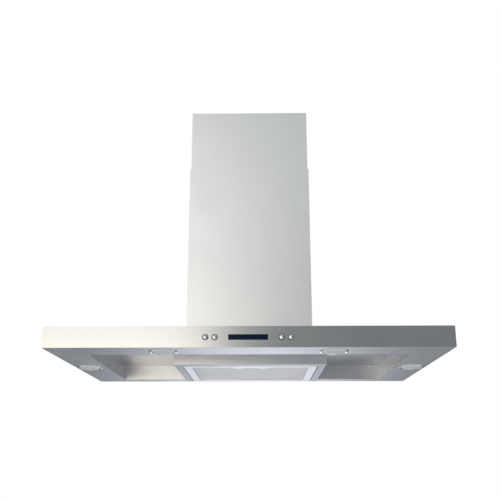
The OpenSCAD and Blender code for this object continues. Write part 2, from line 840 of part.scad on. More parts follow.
// A button: a shallow chrome dome, a flange behind the canopy's wall and a stem to its switch
module push_button(x) on_hood() color(chrome) translate([x, 0, control_up]) {
    dome_rise = 2.6;
    dome_r = (button_r * button_r + dome_rise * dome_rise) / (2 * dome_rise);
    face_y = -half_d - 1.4;
    stem_end = board_front - 4.1 - button_travel;
    intersection() {
        translate([0, face_y + dome_r - dome_rise, 0]) sphere(dome_r);
        rod_y([0, face_y - dome_rise, 0], dome_rise, button_r);
    }
    rod_y([0, face_y, 0], wall_in + 1 - face_y, button_r);
    rod_y([0, wall_in + 0.3, 0], 1.4, button_r + 1.8);
    rod_y([0, wall_in, 0], stem_end - wall_in, stem_r);
}

module button_light() push_button(button_xs[0]);

module button_slower() push_button(button_xs[1]);

module button_faster() push_button(button_xs[2]);

module button_power() push_button(button_xs[3]);

// Leads, each a chain of straight runs with a small block at every bend

module lead(points) {
    for (p = points) translate(p) cube(2 * corner_r, center = true);
    for (i = [1:len(points) - 1]) {
        step = points[i] - points[i - 1];
        translate(points[i - 1])
            rotate([0, acos(step.z / norm(step)), atan2(step.y, step.x)])
            cylinder(h = norm(step), r = lead_r, $fn = 24);
    }
}

module wiring_harness() on_hood() color(copper) {
    lead([
        [-85, tray_back + 1.5 + corner_r, 30],
        [-85, -225, 30],
        [-85, -212, over_liner],
        [-85, -122, over_liner],
        [-85, -120, 52],
        [-85, -120, 270],
        [-85, -100, 284],
        [-85, supply_lead_y, 284],
        [supply_lead_x, supply_lead_y, 289],
        [supply_lead_x, supply_lead_y, box_top + 8]
    ]);
    lead([
        [side_lamp_x, side_lead_y - corner_r, 20],
        [side_lamp_x, beside_lamp_y, lead_level],
        [front_lamp_x, behind_lamp_y, lead_level],
        [-240, behind_lamp_y, lead_level],
        [-270, transformer_y, lead_level]
    ]);
    lead([
        [-side_lamp_x, side_lead_y - corner_r, 20],
        [-side_lamp_x, beside_lamp_y, lead_level],
        [-300, transformer_y, lead_level]
    ]);
}

ceiling_plate();
upper_posts();
upper_post_bolts();
upper_cover_front();
upper_cover_back();
upper_cover_screws();
lower_posts();
post_clamp_bolts();
post_clamp_nuts();
frame_screws();
lower_cover_front();
lower_cover_back();
lower_cover_screws();
canopy_shell();
canopy_liner();
filter_housing();
filter_hinge_brackets();
blower_box();
blower_box_screws();
scroll_housing();
inlet_ring();
fan_wheel();
motor_shaft();
fan_motor();
motor_bracket();
motor_grommets();
motor_screws();
run_capacitor();
capacitor_clip();
outlet_collar();
damper_pin();
damper_flap_front();
damper_flap_rear();
junction_box();
junction_box_lid();
cable_gland();
terminal_block();
lamp_bezels();
lamp_lenses();
lamp_reflectors();
lamp_bulbs();
lamp_cans();
lamp_clips();
lamp_transformer();
control_housing();
control_board();
display_module();
display_window();
tact_switches();
button_guide_plate();
button_light();
button_slower();
button_faster();
button_power();
wiring_harness();
filter_frame();
filter_mesh();
filter_hinge_pins();
latch_housing();
filter_latch();
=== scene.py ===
"""Island range hood: metal finishes, glass, expanded mesh and studio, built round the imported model."""

import math

import bmesh
import bpy
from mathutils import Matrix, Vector


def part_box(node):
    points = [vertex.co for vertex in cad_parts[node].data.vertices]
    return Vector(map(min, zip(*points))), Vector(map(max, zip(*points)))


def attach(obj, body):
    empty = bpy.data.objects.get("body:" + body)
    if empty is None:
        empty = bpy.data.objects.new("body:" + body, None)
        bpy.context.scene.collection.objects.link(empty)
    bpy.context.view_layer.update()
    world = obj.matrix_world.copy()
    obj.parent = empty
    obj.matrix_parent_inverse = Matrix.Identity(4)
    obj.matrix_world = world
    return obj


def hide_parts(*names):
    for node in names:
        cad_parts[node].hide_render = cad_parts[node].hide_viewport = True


bl_info = {
    "name": "Island Range Hood",
    "version": (1, 0, 0),
    "blender": (4, 5, 0),
    "location": "View3D > Sidebar > Range Hood",
    "description": "Finishes the packed island range hood and sets up a plain studio round it",
    "category": "Object",
}

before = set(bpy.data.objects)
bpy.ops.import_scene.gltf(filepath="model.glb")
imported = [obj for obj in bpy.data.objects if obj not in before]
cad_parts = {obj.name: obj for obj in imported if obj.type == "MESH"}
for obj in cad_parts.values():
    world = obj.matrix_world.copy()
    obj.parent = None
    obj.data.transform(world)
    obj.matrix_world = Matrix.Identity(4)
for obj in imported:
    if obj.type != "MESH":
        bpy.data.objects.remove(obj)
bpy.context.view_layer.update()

MM = 0.001

# The canopy's underside is the level that the studio is measured from
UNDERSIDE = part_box("canopy_shell")[0].z
# Painted shade: level steel inside the smoke recess is painted darker than on the border. The change lies
# between these heights.
RECESS_SHADE_RISE = (UNDERSIDE + 20 * MM, UNDERSIDE + 30 * MM)

LAMP_SPOTS = 4
FLOOR_SIDES = 96
# Height of a button's domed crown
DOME_RISE = 2.6 * MM
# Two points closer than this are one point
SAME_POINT = 0.01 * MM

WHITE = (1.0, 1.0, 1.0, 1.0)
# A face is level where the upward part of its normal is more than this
LEVEL_FROM = 0.7
# A colour or a roughness runs its whole way inside the middle part of a noise, where most of its values lie
MIDDLE_OF_NOISE = (0.3, 0.7)

# The expanded mesh under the filter's core, and the gap that it leaves round the latch
LAYER_STEP = 0.3 * MM
STRAND_THICKNESS = 0.2 * MM
NOTCH_GAP = 1.0 * MM

# A pressed lens: ribs inside the rim, rings of ripple and a clear middle
LENS_RINGS = 22
POINTS_PER_FLUTE = 6
RIB_START, RIB_SPAN, RIB_DEPTH = 0.35, 0.6, 0.35 * MM
RIPPLE_RINGS, RIPPLE_END, RIPPLE_DEPTH = 3, 0.95, 0.18 * MM
LENS_LIFT = 0.2 * MM
RIM_INSET = 1.0 * MM
GLASS_WALL = 0.8 * MM

# The studio's parts, each as bright as its number against a white wall.
# The bank has one for its far left and one for its right edge.
UPPER_GLOW = 0.36
REAR_GLOW = 1.75
OVERHEAD_GLOW = 0.35
ALL_ROUND = 0.66
BANK_GLOW = (0.5, 1.25)
WASH_GLOW = 0.33
RECESS_PANEL_GLOW = 3.8

# Sizes and places of the two area lights, in metres
WASH_SIDE = 12.0
WASH_HEIGHT = 0.35
RECESS_PANEL_SIZE = (0.9, 0.5)
RECESS_PANEL_PLACE = (-0.64, -1.9, UNDERSIDE - 0.275)
RECESS_PANEL_AIM = (-0.2, 0.0, UNDERSIDE)


# Settings


class HoodFinish(bpy.types.PropertyGroup):
    """Colours and surface values of the metals, plastics and glass."""

    stainless: bpy.props.StringProperty(
        name="Stainless steel", description="Reflected colour of the brushed sheet", default="#cacac9"
    )
    chimney_steel: bpy.props.StringProperty(
        name="Chimney steel", description="Reflected colour of the chimney's brushed sheet", default="#f4f4f2"
    )
    liner: bpy.props.StringProperty(
        name="Liner steel", description="Reflected colour of the sheet under the canopy", default="#e4e5e8"
    )
    zinc: bpy.props.StringProperty(
        name="Zinc", description="Reflected colour of zinc plate", default="#b4b8ba"
    )
    chrome: bpy.props.StringProperty(
        name="Chrome", description="Reflected colour of polished chrome", default="#e4e6e8"
    )
    aluminium: bpy.props.StringProperty(
        name="Aluminium", description="Reflected colour of the filter's aluminium", default="#f2f2f6"
    )
    black_plastic: bpy.props.StringProperty(
        name="Black plastic", description="Colour of the moulded black parts", default="#1d1e20"
    )
    grey_plastic: bpy.props.StringProperty(
        name="Grey plastic", description="Colour of the moulded grey parts", default="#6d7173"
    )
    display: bpy.props.StringProperty(
        name="Display glass", description="Colour of the display's tinted glass", default="#061d33"
    )
    lens: bpy.props.StringProperty(
        name="Lamp glass", description="Colour of the lamps' pressed glass", default="#d3d6dd"
    )
    brush_line: bpy.props.FloatProperty(
        name="Brush line width",
        description="Width of one line of the brushed grain",
        default=0.6 * MM,
        min=0.1 * MM,
        subtype="DISTANCE",
        unit="LENGTH",
    )
    brush_length: bpy.props.FloatProperty(
        name="Brush line length",
        description="Length of one line of the brushed grain",
        default=90 * MM,
        min=5 * MM,
        subtype="DISTANCE",
        unit="LENGTH",
    )
    fold_radius: bpy.props.FloatProperty(
        name="Fold radius",
        description="Outer radius of the folded sheet edges",
        default=0.9 * MM,
        min=0.1 * MM,
        subtype="DISTANCE",
        unit="LENGTH",
    )


class HoodDetail(bpy.types.PropertyGroup):
    """Sizes of the fine pieces that are built here."""

    diamond_long: bpy.props.FloatProperty(
        name="Diamond length",
        description="Long way of one opening in the expanded mesh",
        default=8 * MM,
        min=3 * MM,
        subtype="DISTANCE",
        unit="LENGTH",
    )
    diamond_short: bpy.props.FloatProperty(
        name="Diamond width",
        description="Short way of one opening in the expanded mesh",
        default=4.2 * MM,
        min=2 * MM,
        subtype="DISTANCE",
        unit="LENGTH",
    )
    strand: bpy.props.FloatProperty(
        name="Strand width",
        description="Width of one strand of the expanded mesh",
        default=0.8 * MM,
        min=0.3 * MM,
        subtype="DISTANCE",
        unit="LENGTH",
    )
    mesh_layers: bpy.props.IntProperty(
        name="Mesh layers",
        description="Layers of expanded mesh over the filter's core",
        default=1,
        min=1,
        max=3,
    )
    lens_flutes: bpy.props.IntProperty(
        name="Lens flutes", description="Pressed ribs round a lamp's lens", default=28, min=8, max=60
    )


class HoodStage(bpy.types.PropertyGroup):
    """Camera, floor and light."""

    camera_away: bpy.props.FloatProperty(
        name="Camera distance",
        description="Distance of the camera in front of the canopy's middle",
        default=1.8107,
        subtype="DISTANCE",
        unit="LENGTH",
    )
    camera_below: bpy.props.FloatProperty(
        name="Camera depth",
        description="Distance of the camera below the canopy's underside",
        default=0.2582,
        subtype="DISTANCE",
        unit="LENGTH",
    )
    camera_aside: bpy.props.FloatProperty(
        name="Camera offset",
        description="Distance of the camera to the right of the canopy's middle",
        default=0.027,
        subtype="DISTANCE",
        unit="LENGTH",
    )
    camera_pitch: bpy.props.FloatProperty(
        name="Camera pitch",
        description="How far the camera looks up",
        default=math.radians(15.56),
        subtype="ANGLE",
    )
    camera_yaw: bpy.props.FloatProperty(
        name="Camera yaw",
        description="How far the camera looks left",
        default=math.radians(0.87),
        subtype="ANGLE",
    )
    lens_mm: bpy.props.FloatProperty(
        name="Lens", description="Focal length on a 36 mm wide sensor, in millimetres", default=50.7
    )
    rise: bpy.props.FloatProperty(
        name="Rise", description="Upward shift of the lens, as a share of its width", default=0.05
    )
    floor_below: bpy.props.FloatProperty(
        name="Floor depth",
        description="Distance of the floor below the canopy's underside",
        default=1.55,
        subtype="DISTANCE",
        unit="LENGTH",
    )
    floor_radius: bpy.props.FloatProperty(
        name="Floor radius",
        description="Radius of the round floor",
        default=4.8,
        subtype="DISTANCE",
        unit="LENGTH",
    )


# Node helpers


def linear(hex_colour):
    """An sRGB hex colour as linear red, green, blue and alpha."""
    channels = [int(hex_colour[i : i + 2], 16) / 255 for i in (1, 3, 5)]
    return (*(c / 12.92 if c <= 0.04045 else ((c + 0.055) / 1.055) ** 2.4 for c in channels), 1.0)


def shaded(colour, share):
    """The linear colour made darker or lighter by a share."""
    return (*(min(1.0, c * share) for c in colour[:3]), 1.0)


def add(tree, kind, settings=None, links=None):
    """Adds a node. Settings and links name its sockets, or settings name its properties."""
    made = tree.nodes.new("ShaderNode" + kind)
    for name, value in (settings or {}).items():
        if isinstance(name, str) and hasattr(made, name):
            setattr(made, name, value)
        else:
            made.inputs[name].default_value = value
    for name, source in (links or {}).items():
        tree.links.new(source, made.inputs[name])
    return made


def new_material(name, settings):
    """A material with one Principled shader, and its tree and shader."""
    material = bpy.data.materials.new(name)
    material.use_nodes = True
    tree = material.node_tree
    tree.nodes.clear()
    shader = add(tree, "BsdfPrincipled", settings)
    add(tree, "OutputMaterial", links={"Surface": shader.outputs["BSDF"]})
    return material, tree, shader


def object_point(tree):
    return add(tree, "TexCoord").outputs["Object"]


def noise(tree, point, size, detail=3.0):
    """Noise whose patches are about this size, in metres."""
    made = add(tree, "TexNoise", {"Scale": 1 / size, "Detail": detail}, {"Vector": point})
    return made.outputs["Fac"]


def between(tree, value, low, high, start=0.0, end=1.0):
    """The value stretched from start..end to low..high."""
    settings = {"From Min": start, "From Max": end, "To Min": low, "To Max": high}
    return add(tree, "MapRange", settings, {"Value": value}).outputs["Result"]


def smooth_step(tree, value, start, end):
    """0 below start, 1 above end and a smooth rise between them. start may be the larger."""
    settings = {"interpolation_type": "SMOOTHSTEP", "From Min": start, "From Max": end}
    return add(tree, "MapRange", settings, {"Value": value}).outputs["Result"]


def times(tree, *values):
    """The product of sockets and numbers."""
    total = values[0]
    for value in values[1:]:
        made = add(tree, "Math", {"operation": "MULTIPLY"}, {0: total})
        if isinstance(value, (int, float)):
            made.inputs[1].default_value = value
        else:
            tree.links.new(value, made.inputs[1])
        total = made.outputs[0]
    return total


def plus(tree, *values):
    """The sum of sockets."""
    total = values[0]
    for value in values[1:]:
        total = add(tree, "Math", {"operation": "ADD"}, {0: total, 1: value}).outputs[0]
    return total


def mixed_colour(tree, share, first, second):
    made = add(tree, "Mix", {"data_type": "RGBA"}, {"Factor": share})
    made.inputs[6].default_value = first
    made.inputs[7].default_value = second
    return made.outputs[2]


def vary_colour(tree, shader, pattern, first, second):
    """Lets a pattern of 0 to 1 run the colour from the first to the second."""
    tree.links.new(mixed_colour(tree, pattern, first, second), shader.inputs["Base Color"])


def vary_roughness(tree, shader, pattern, low, high, span=MIDDLE_OF_NOISE):
    """Lets a pattern run the roughness from low to high, over this span of the pattern."""
    tree.links.new(between(tree, pattern, low, high, *span), shader.inputs["Roughness"])


def multiplied_colour(tree, first, second):
    made = add(tree, "Mix", {"data_type": "RGBA", "blend_type": "MULTIPLY"}, {6: first, 7: second})
    made.inputs["Factor"].default_value = 1.0
    return made.outputs[2]


def raised(tree, shader, height, depth, strength=1.0):
    """Bump from a height of 0 to 1 that stands this deep, in metres."""
    bump = add(tree, "Bump", {"Distance": depth, "Strength": strength}, {"Height": height})
    tree.links.new(bump.outputs["Normal"], shader.inputs["Normal"])


# Metals


def brushed_stainless(name, colour, roughness, anisotropy, upright=False, level_shade=1.0, recess_shade=1.0):
    """Stainless sheet, brushed with a belt: fine parallel lines that smear every highlight across them.

    Real lines are 0.1 to 0.3 mm wide. They are drawn wider here, so that they show.
    On upright faces the lines run level, or upright if asked. On level faces they run left to right.
    level_shade paints shade on level faces, darker and a touch bluer everywhere; recess_shade paints more
    shade on level faces inside the smoke recess.
    """
    finish = bpy.context.scene.hood_finish
    material, tree, shader = new_material(name, {"Metallic": 1.0, "Anisotropic": anisotropy})
    point = add(tree, "SeparateXYZ", links={"Vector": object_point(tree)})
    x, y, z = (point.outputs[axis] for axis in "XYZ")
    normal = add(tree, "SeparateXYZ", links={"Vector": add(tree, "NewGeometry").outputs["Normal"]})
    size = add(tree, "Math", {"operation": "ABSOLUTE"}, {0: normal.outputs["Z"]}).outputs[0]
    level = add(tree, "Math", {"operation": "GREATER_THAN", 1: LEVEL_FROM}, {0: size}).outputs[0]
    round_wall = add(tree, "Math", {"operation": "ADD"}, {0: x, 1: y}).outputs[0]
    along, across = (z, round_wall) if upright else (round_wall, z)
    along = add(tree, "Mix", {"data_type": "FLOAT"}, {0: level, 2: along, 3: x}).outputs[0]
    across = add(tree, "Mix", {"data_type": "FLOAT"}, {0: level, 2: across, 3: y}).outputs[0]
    along = add(tree, "Math", {"operation": "DIVIDE", 1: finish.brush_length}, {0: along}).outputs[0]
    across = add(tree, "Math", {"operation": "DIVIDE", 1: finish.brush_line}, {0: across}).outputs[0]
    grain_point = add(tree, "CombineXYZ", links={"X": along, "Y": across}).outputs["Vector"]
    lines = add(tree, "TexNoise", {"Scale": 1.0, "Detail": 2.0}, {"Vector": grain_point}).outputs["Fac"]
    clouds = noise(tree, object_point(tree), 0.12)
    line_colour = mixed_colour(tree, lines, shaded(colour, 0.97), shaded(colour, 1.03))
    # Painted shade: level faces are darker and a touch bluer
    level_shade_tint = (level_shade, level_shade, min(1.0, level_shade * 1.04), 1.0)
    level_painted_shade = multiplied_colour(tree, line_colour, mixed_colour(tree, level, WHITE, level_shade_tint))
    # Painted shade: level faces high inside the smoke recess are darkened by recess_shade
    ceiling = times(tree, level, smooth_step(tree, z, *RECESS_SHADE_RISE))
    painted_recess_shade = mixed_colour(tree, ceiling, WHITE, shaded(WHITE, recess_shade))
    tree.links.new(multiplied_colour(tree, level_painted_shade, painted_recess_shade), shader.inputs["Base Color"])
    line_part = between(tree, lines, roughness - 0.03, roughness + 0.03, 0.25, 0.75)
    cloud_part = between(tree, clouds, -0.02, 0.02, 0.3, 0.7)
    total = add(tree, "Math", {"operation": "ADD"}, {0: line_part, 1: cloud_part}).outputs[0]
    tree.links.new(total, shader.inputs["Roughness"])
    raised(tree, shader, lines, 0.006 * MM, 0.2)
    # The highlight is smeared along this direction, at right angles to the brushed lines
    wall_smear = (1.0, 1.0, 0.0) if upright else (0.0, 0.0, 1.0)
    smear = add(tree, "Mix", {"data_type": "VECTOR"}, {"Factor": level})
    smear.inputs[4].default_value = wall_smear
    smear.inputs[5].default_value = (0.0, 1.0, 0.0)
    tree.links.new(smear.outputs[1], shader.inputs["Tangent"])
    return material


def galvanised_sheet(name, colour):
    """Hot-dip galvanised steel: flat zinc crystals of about 8 mm, each with its own shade."""
    material, tree, shader = new_material(name, {"Metallic": 1.0})
    cells = add(tree, "TexVoronoi", {"Scale": 1 / (8 * MM)}, {"Vector": object_point(tree)})
    shade = add(tree, "SeparateColor", links={"Color": cells.outputs["Color"]}).outputs[0]
    vary_colour(tree, shader, shade, shaded(colour, 0.8), shaded(colour, 1.1))
    vary_roughness(tree, shader, shade, 0.3, 0.55, (0.0, 1.0))
    raised(tree, shader, shade, 0.03 * MM, 0.3)
    return material


def zinc_plate(name, colour):
    """Zinc-plated steel: a cool satin film with a faint yellow cast in patches."""
    material, tree, shader = new_material(name, {"Metallic": 1.0})
    patches = noise(tree, object_point(tree), 14 * MM)
    warm = (colour[0] * 1.02, colour[1] * 0.99, colour[2] * 0.86, 1.0)
    vary_colour(tree, shader, between(tree, patches, 0, 1, 0.35, 0.7), colour, warm)
    vary_roughness(tree, shader, patches, 0.28, 0.44)
    raised(tree, shader, noise(tree, object_point(tree), 0.6 * MM), 0.01 * MM, 0.3)
    return material


def polished_chrome(name, colour):
    """Electroplated chrome, polished: a near mirror with a trace of wiping marks."""
    material, tree, shader = new_material(name, {"Metallic": 1.0, "Base Color": colour})
    wiping = noise(tree, object_point(tree), 5 * MM, 5.0)
    vary_roughness(tree, shader, wiping, 0.04, 0.13, (0.35, 0.75))
    raised(tree, shader, wiping, 0.004 * MM, 0.2)
    return material


def satin_chrome_cap(name, colour, painted_rim_colour, rim_start, rim_end):
    """Satin chrome on a button's dome, with painted shade round its edge: a soft bright dome inside a dark
    rim.
    """
    material, tree, shader = new_material(name, {"Metallic": 1.0})
    depth = add(tree, "SeparateXYZ", links={"Vector": object_point(tree)}).outputs["Y"]
    painted_rim_shade = smooth_step(tree, depth, rim_start, rim_end)
    vary_colour(tree, shader, painted_rim_shade, colour, painted_rim_colour)
    wiping = noise(tree, object_point(tree), 3 * MM, 3.0)
    vary_roughness(tree, shader, wiping, 0.16, 0.26)
    raised(tree, shader, wiping, 0.004 * MM, 0.2)
    return material


def drawn_aluminium(name, colour, roughness=0.38):
    """Drawn and rolled aluminium: pale satin with soft streaks along its length."""
    material, tree, shader = new_material(name, {"Metallic": 1.0})
    stretched = add(tree, "Mapping", {"Scale": (0.12, 1.0, 1.0)}, {"Vector": object_point(tree)})
    streaks = noise(tree, stretched.outputs["Vector"], 1.6 * MM)
    vary_colour(tree, shader, streaks, shaded(colour, 0.9), shaded(colour, 1.04))
    vary_roughness(tree, shader, streaks, roughness - 0.08, roughness + 0.08)
    raised(tree, shader, streaks, 0.02 * MM, 0.25)
    return material


def knitted_aluminium(name, colour):
    """Aluminium ribbon, knitted and pressed flat: a bright, finely pitted pad. Its loops are about 1.5 mm."""
    material, tree, shader = new_material(name, {"Metallic": 1.0})
    cells = add(tree, "TexVoronoi", {"Scale": 1 / (1.5 * MM)}, {"Vector": object_point(tree)})
    loops = cells.outputs["Distance"]
    vary_colour(tree, shader, loops, colour, shaded(colour, 0.86))
    vary_roughness(tree, shader, loops, 0.34, 0.44, (0.0, 1.0))
    raised(tree, shader, loops, 0.05 * MM, 0.2)
    return material


# Plastics, rubber, paint, board and glass


def moulded_plastic(name, colour, roughness=0.5, grain=0.7 * MM):
    """ABS, moulded in a spark-eroded tool: an even fine grain that takes the shine off."""
    material, tree, shader = new_material(name, {"IOR": 1.53})
    pits = noise(tree, object_point(tree), grain, 2.0)
    wear = noise(tree, object_point(tree), 30 * MM)
    vary_colour(tree, shader, wear, shaded(colour, 0.85), shaded(colour, 1.15))
    vary_roughness(tree, shader, wear, roughness - 0.08, roughness + 0.08)
    raised(tree, shader, pits, 0.04 * MM, 0.5)
    return material


def moulded_rubber(name, colour):
    """Nitrile rubber, moulded: matt black with a chalky bloom."""
    material, tree, shader = new_material(name, {"IOR": 1.5})
    bloom = noise(tree, object_point(tree), 3 * MM)
    vary_colour(tree, shader, bloom, colour, shaded(colour, 2.0))
    vary_roughness(tree, shader, bloom, 0.7, 0.9, (0.0, 1.0))
    return material


def painted_iron(name, colour):
    """Cast motor body under sprayed enamel: low orange peel."""
    material, tree, shader = new_material(name, {"IOR": 1.5, "Coat Weight": 0.3, "Coat Roughness": 0.2})
    peel = noise(tree, object_point(tree), 2 * MM)
    vary_colour(tree, shader, peel, shaded(colour, 0.9), shaded(colour, 1.1))
    vary_roughness(tree, shader, peel, 0.35, 0.5, (0.0, 1.0))
    raised(tree, shader, peel, 0.05 * MM, 0.4)
    return material


def pressed_glass(name, colour):
    """Borosilicate glass, pressed and lightly etched inside: bright, milky, with a glossy face."""
    settings = {
        "Base Color": colour,
        "IOR": 1.47,
        "Transmission Weight": 0.15,
        "Coat Weight": 1.0,
        "Coat Roughness": 0.05,
    }
    material, tree, shader = new_material(name, settings)
    etch = noise(tree, object_point(tree), 4 * MM)
    vary_roughness(tree, shader, etch, 0.12, 0.3)
    raised(tree, shader, etch, 0.1 * MM, 0.35)
    return material


def tinted_glass(name, colour):
    """Float glass, back-painted dark blue and coated against glare: deep colour under a faint reflection."""
    material, tree, shader = new_material(name, {"IOR": 1.52, "Specular IOR Level": 0.12})
    smears = noise(tree, object_point(tree), 18 * MM)
    vary_colour(tree, shader, smears, shaded(colour, 0.85), shaded(colour, 1.25))
    vary_roughness(tree, shader, smears, 0.08, 0.2)
    return material


def board_laminate(name):
    """Glass-epoxy laminate under green solder mask, with copper tracks that show as paler bands."""
    mask, track = linear("#14502f"), linear("#2f7d4c")
    material, tree, shader = new_material(name, {"IOR": 1.55, "Roughness": 0.35})
    bands = add(tree, "TexBrick", {"Scale": 60.0, "Mortar Size": 0.03}, {"Vector": object_point(tree)})
    bands.inputs["Color1"].default_value = mask
    bands.inputs["Color2"].default_value = shaded(mask, 1.15)
    bands.inputs["Mortar"].default_value = track
    tree.links.new(bands.outputs["Color"], shader.inputs["Base Color"])
    raised(tree, shader, bands.outputs["Fac"], 0.03 * MM, 0.5)
    return material


def lead_insulation(name):
    """PVC insulation, extruded: soft sheen with a faint ripple."""
    material, tree, shader = new_material(name, {"IOR": 1.53, "Roughness": 0.35})
    ripple = noise(tree, object_point(tree), 6 * MM)
    brown = linear("#7a4a2c")
    vary_colour(tree, shader, ripple, shaded(brown, 0.9), shaded(brown, 1.1))
    raised(tree, shader, ripple, 0.1 * MM, 0.3)
    return material


# Shapes


def finish_node(name, material):
    """Gives one CAD node its material."""
    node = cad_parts[name]
    node.data.materials.clear()
    node.data.materials.append(material)


def soften_edges(name, radius, segments=3):
    """Rounds a sheet's folds and cut edges, so that they catch the light as real ones do."""
    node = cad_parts[name]
    weld = node.modifiers.new("join_faces", "WELD")
    weld.merge_threshold = SAME_POINT
    merge = node.modifiers.new("merge_flat_faces", "DECIMATE")
    merge.decimate_type = "DISSOLVE"
    merge.angle_limit = math.radians(1)
    bevel = node.modifiers.new("fold_radius", "BEVEL")
    bevel.width = radius
    bevel.segments = segments
    bevel.limit_method = "ANGLE"
    bevel.angle_limit = math.radians(50)
    bevel.use_clamp_overlap = True
    weigh = node.modifiers.new("flat_faces", "WEIGHTED_NORMAL")
    weigh.weight = 100
    weigh.keep_sharp = False


def new_piece(name, vertices, faces, material, body, smooth=False):
    """A mesh piece that rides on a CAD body."""
    data = bpy.data.meshes.new(name)
    data.from_pydata(vertices, [], faces)
    data.validate()
    data.materials.append(material)
    piece = bpy.data.objects.new(name, data)
    bpy.context.scene.collection.objects.link(piece)
    if smooth:
        data.shade_smooth()
    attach(piece, body)
    return piece


def expanded_layer(low, high, level, thickness, shift, notch):
    """Vertices and faces of one layer of expanded mesh: zigzag strands that touch at every other corner.

    low and high bound the sheet, and notch is a box (x half width, y end) at its front that stays empty.
    """
    detail = bpy.context.scene.hood_detail
    step = detail.diamond_long / 2
    row_step = detail.diamond_short
    swing = row_step / 2 - detail.strand / 2
    half_strand, half_t = detail.strand / 2, thickness / 2
    points = int((high.x - low.x) / step)
    rows = int((high.y - low.y - detail.strand) / row_step)
    vertices, faces = [], []
    for row in range(rows):
        middle = low.y + row_step * (row + 0.5) + detail.strand / 2
        joined = False
        for i in range(points + 1):
            x = low.x + i * step
            side = 1 if (i + row + shift) % 2 else -1
            y = middle + side * swing
            if abs(x) < notch[0] and y < notch[1]:
                joined = False
                continue
            start = len(vertices)
            for dy, dz in ((-1, -1), (1, -1), (1, 1), (-1, 1)):
                vertices.append((x, y + dy * half_strand, level + dz * half_t))
            if joined:
                for k in range(4):
                    n = (k + 1) % 4
                    faces.append((start - 4 + k, start - 4 + n, start + n, start + k))
            else:
                faces.append((start, start + 1, start + 2, start + 3))
            joined = True
            last = i == points or abs(x + step) < notch[0] and y - 2 * side * swing < notch[1]
            if last:
                faces.append((start + 3, start + 2, start + 1, start))
    return vertices, faces


def fluted_lens(centre, radius, low, rim):
    """Vertices and faces of one pressed lens: a dome with ribs inside its rim and a clear bull's-eye."""
    flutes = bpy.context.scene.hood_detail.lens_flutes
    around = flutes * POINTS_PER_FLUTE
    vertices, faces = [], []
    for ring in range(1, LENS_RINGS + 1):
        share = ring / LENS_RINGS
        across_rib = max(0.0, (share - RIB_START) / RIB_SPAN)
        rib = RIB_DEPTH * max(0.0, math.sin(math.pi * across_rib))
        ripple = RIPPLE_DEPTH * math.cos(RIPPLE_RINGS * 2 * math.pi * share) if share < RIPPLE_END else 0.0
        for k in range(around):
            turn = 2 * math.pi * k / around
            x = centre.x + radius * share * math.cos(turn)
            y = centre.y + radius * share * math.sin(turn)
            z = low + (rim - low) * share**2 + rib * (1 + math.cos(flutes * turn)) + ripple + LENS_LIFT
            vertices.append((x, y, z))
    middle = len(vertices)
    vertices.append((centre.x, centre.y, low + RIPPLE_DEPTH + LENS_LIFT))
    for k in range(around):
        n = (k + 1) % around
        faces.append((middle, n, k))
        for ring in range(LENS_RINGS - 1):
            a, b = ring * around, (ring + 1) * around
            faces.append((a + k, a + n, b + n, b + k))
    return vertices, faces


def islands(node):
    """Middle points, lowest and highest corners of the separate solids in a CAD node."""
    mesh = node.data
    shape = bmesh.new()
    shape.from_mesh(mesh)
    bmesh.ops.remove_doubles(shape, verts=shape.verts, dist=SAME_POINT)
    seen, found = set(), []
    for first in shape.verts:
        if first in seen:
            continue
        stack, group = [first], []
        seen.add(first)
        while stack:
            vertex = stack.pop()
            group.append(vertex.co.copy())
            for edge in vertex.link_edges:
                other = edge.other_vert(vertex)
                if other not in seen:
                    seen.add(other)
                    stack.append(other)
        low = Vector(min(p[i] for p in group) for i in range(3))
        high = Vector(max(p[i] for p in group) for i in range(3))
        found.append(((low + high) / 2, low, high))
    shape.free()
    return sorted(found, key=lambda solid: (round(solid[0].y, 3), round(solid[0].x, 3)))


# Operators: one for each piece or group of like pieces


class HOOD_OT_chimney(bpy.types.Operator):
    """Brushes the chimney covers and rounds their folds"""

    bl_idname = "hood.chimney"
    bl_label = "Chimney covers"

    def execute(self, context):
        finish = context.scene.hood_finish
        colour = linear(finish.chimney_steel)
        steel = brushed_stainless("chimney_brushed_stainless", colour, 0.3, 0.2, upright=True)
        for name in ("upper_cover_front", "upper_cover_back", "lower_cover_front", "lower_cover_back"):
            finish_node(name, steel)
            soften_edges(name, finish.fold_radius * 0.5)
        chrome = polished_chrome("cover_screw_chrome", linear(finish.chrome))
        for name in ("upper_cover_screws", "lower_cover_screws"):
            finish_node(name, chrome)
        return {"FINISHED"}


class HOOD_OT_canopy(bpy.types.Operator):
    """Brushes the canopy's shell, liner and filter box and rounds their folds"""

    bl_idname = "hood.canopy"
    bl_label = "Canopy"

    def execute(self, context):
        finish = context.scene.hood_finish
        shell = brushed_stainless("canopy_brushed_stainless", linear(finish.stainless), 0.24, 0.85)
        finish_node("canopy_shell", shell)
        soften_edges("canopy_shell", finish.fold_radius)
        colour = linear(finish.liner)
        # Painted shade: the liner's level faces are darker, and darker still inside the smoke recess
        liner_painted_shade = {"level_shade": 0.7, "recess_shade": 0.65}
        liner = brushed_stainless("liner_stainless_painted_shade", colour, 0.3, 0.3, **liner_painted_shade)
        # Painted light and shade: the filter box is a lighter copy of the liner steel, with painted shade on
        # its level faces
        bright = shaded(colour, 1.2)
        box = brushed_stainless("filter_box_stainless_painted_light_and_shade", bright, 0.3, 0.3, level_shade=0.36)
        for name, material in (("canopy_liner", liner), ("filter_housing", box)):
            finish_node(name, material)
            soften_edges(name, finish.fold_radius * 0.5, 2)
        return {"FINISHED"}


